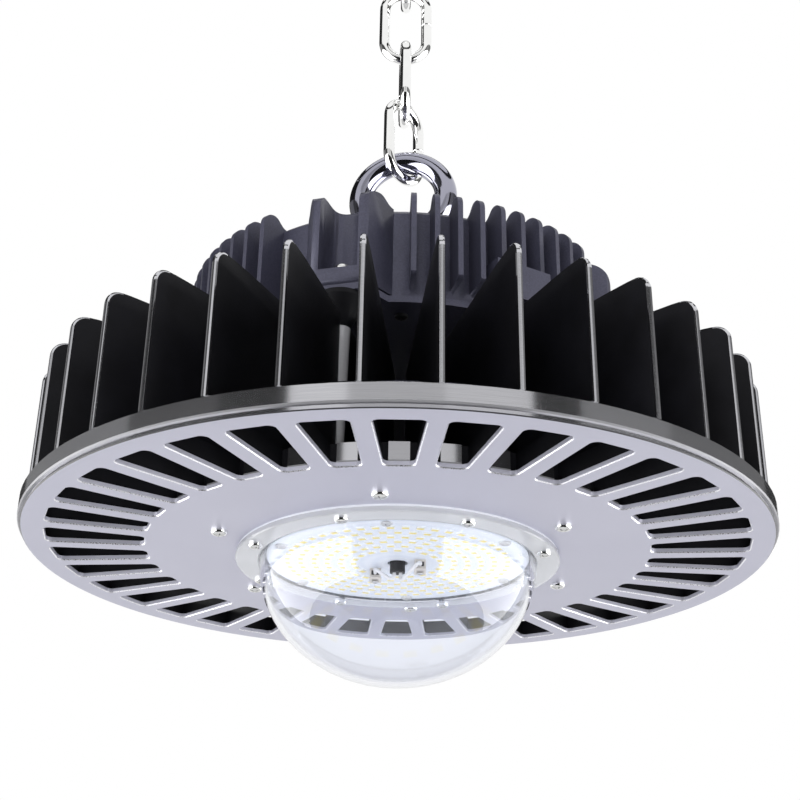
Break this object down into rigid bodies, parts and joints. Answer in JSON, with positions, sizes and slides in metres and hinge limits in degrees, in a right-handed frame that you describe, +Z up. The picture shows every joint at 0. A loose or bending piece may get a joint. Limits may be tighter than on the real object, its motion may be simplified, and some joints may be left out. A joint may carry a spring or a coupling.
{
  "type": "high bay light",
  "caption": "Round pendant high bay light with a radial finned heat sink, clear dome lens and finned driver, hung from an eye bolt on a chain.",
  "frame": {"origin": "where a hook bears inside the top chain link", "axes": "+Z up along the hanging chain; -Y faces the viewer of the picture"},
  "size_m": [0.33, 0.33, 0.4219],
  "materials": {
    "casting": "black satin paint with bare machined edges",
    "face_plate": "satin clear anodised",
    "screws": "bright zinc",
    "dark_screws": "black oxide",
    "pad": "soft grey heat pad",
    "board": "white solder mask",
    "chips": "yellow phosphor",
    "terminals": "pale beige moulding",
    "lens": "clear dome",
    "lens_gasket": "translucent silicone",
    "driver": "black satin powder coat",
    "gasket": "black rubber",
    "cable": "black sheath",
    "lead": "white insulation",
    "spacers": "white nylon",
    "circuit": "green solder mask",
    "transformer": "ferrite core with yellow tape",
    "choke": "ferrite ring with copper wire",
    "capacitors": "sleeved can",
    "gland": "black nylon",
    "eye": "black chrome",
    "steel": "zinc plated",
    "chain": "polished steel"
  },
  "bodies": {
    "top_link": {"chain_link_4": "chain"},
    "link_3": {"chain_link_3": "chain"},
    "link_2": {"chain_link_2": "chain"},
    "link_1": {"chain_link_1": "chain"},
    "lamp": {"heat_sink": "casting", "face_plate": "face_plate", "plate_screws": "screws", "thermal_pad": "pad", "led_board": "board", "led_chips": "chips", "board_screws": "screws", "terminal_blocks": "terminals", "terminal_screws": "screws", "lens_dome": "lens", "lens_gasket": "lens_gasket", "lens_screws": "screws", "driver_base_plate": "driver", "driver_gasket": "gasket", "driver_housing": "driver", "base_plate_screws": "dark_screws", "ear_washers": "screws", "ear_screws": "screws", "wire_grommet": "gasket", "led_cable": "cable", "led_lead_left": "lead", "led_lead_right": "lead", "board_spacers": "spacers", "circuit_board": "circuit", "transformer": "transformer", "input_choke": "choke", "bulk_capacitors": "capacitors", "gland_body": "gland", "gland_seal": "gasket", "gland_nut": "gland", "eye_bolt": "eye", "eye_washer": "steel", "eye_nut": "steel"}
  },
  "joints": [
    {"name": "link_3_swing", "type": "hinge", "parent": "top_link", "child": "link_3", "pos_m": [0, 0, -0.0475], "axis": [0, -1, 0], "range_deg": [-45, 45]},
    {"name": "link_2_swing", "type": "hinge", "parent": "link_3", "child": "link_2", "pos_m": [0, 0, -0.0865], "axis": [0.9994, 0.0349, 0], "range_deg": [-45, 45]},
    {"name": "link_1_swing", "type": "hinge", "parent": "link_2", "child": "link_1", "pos_m": [0, 0, -0.12383], "axis": [0.7431, -0.6691, 0], "range_deg": [-45, 45]},
    {"name": "lamp_swing", "type": "hinge", "parent": "link_1", "child": "lamp", "pos_m": [0, 0, -0.16991], "axis": [-0.1736, -0.9848, 0], "range_deg": [-50, 50]}
  ]
}
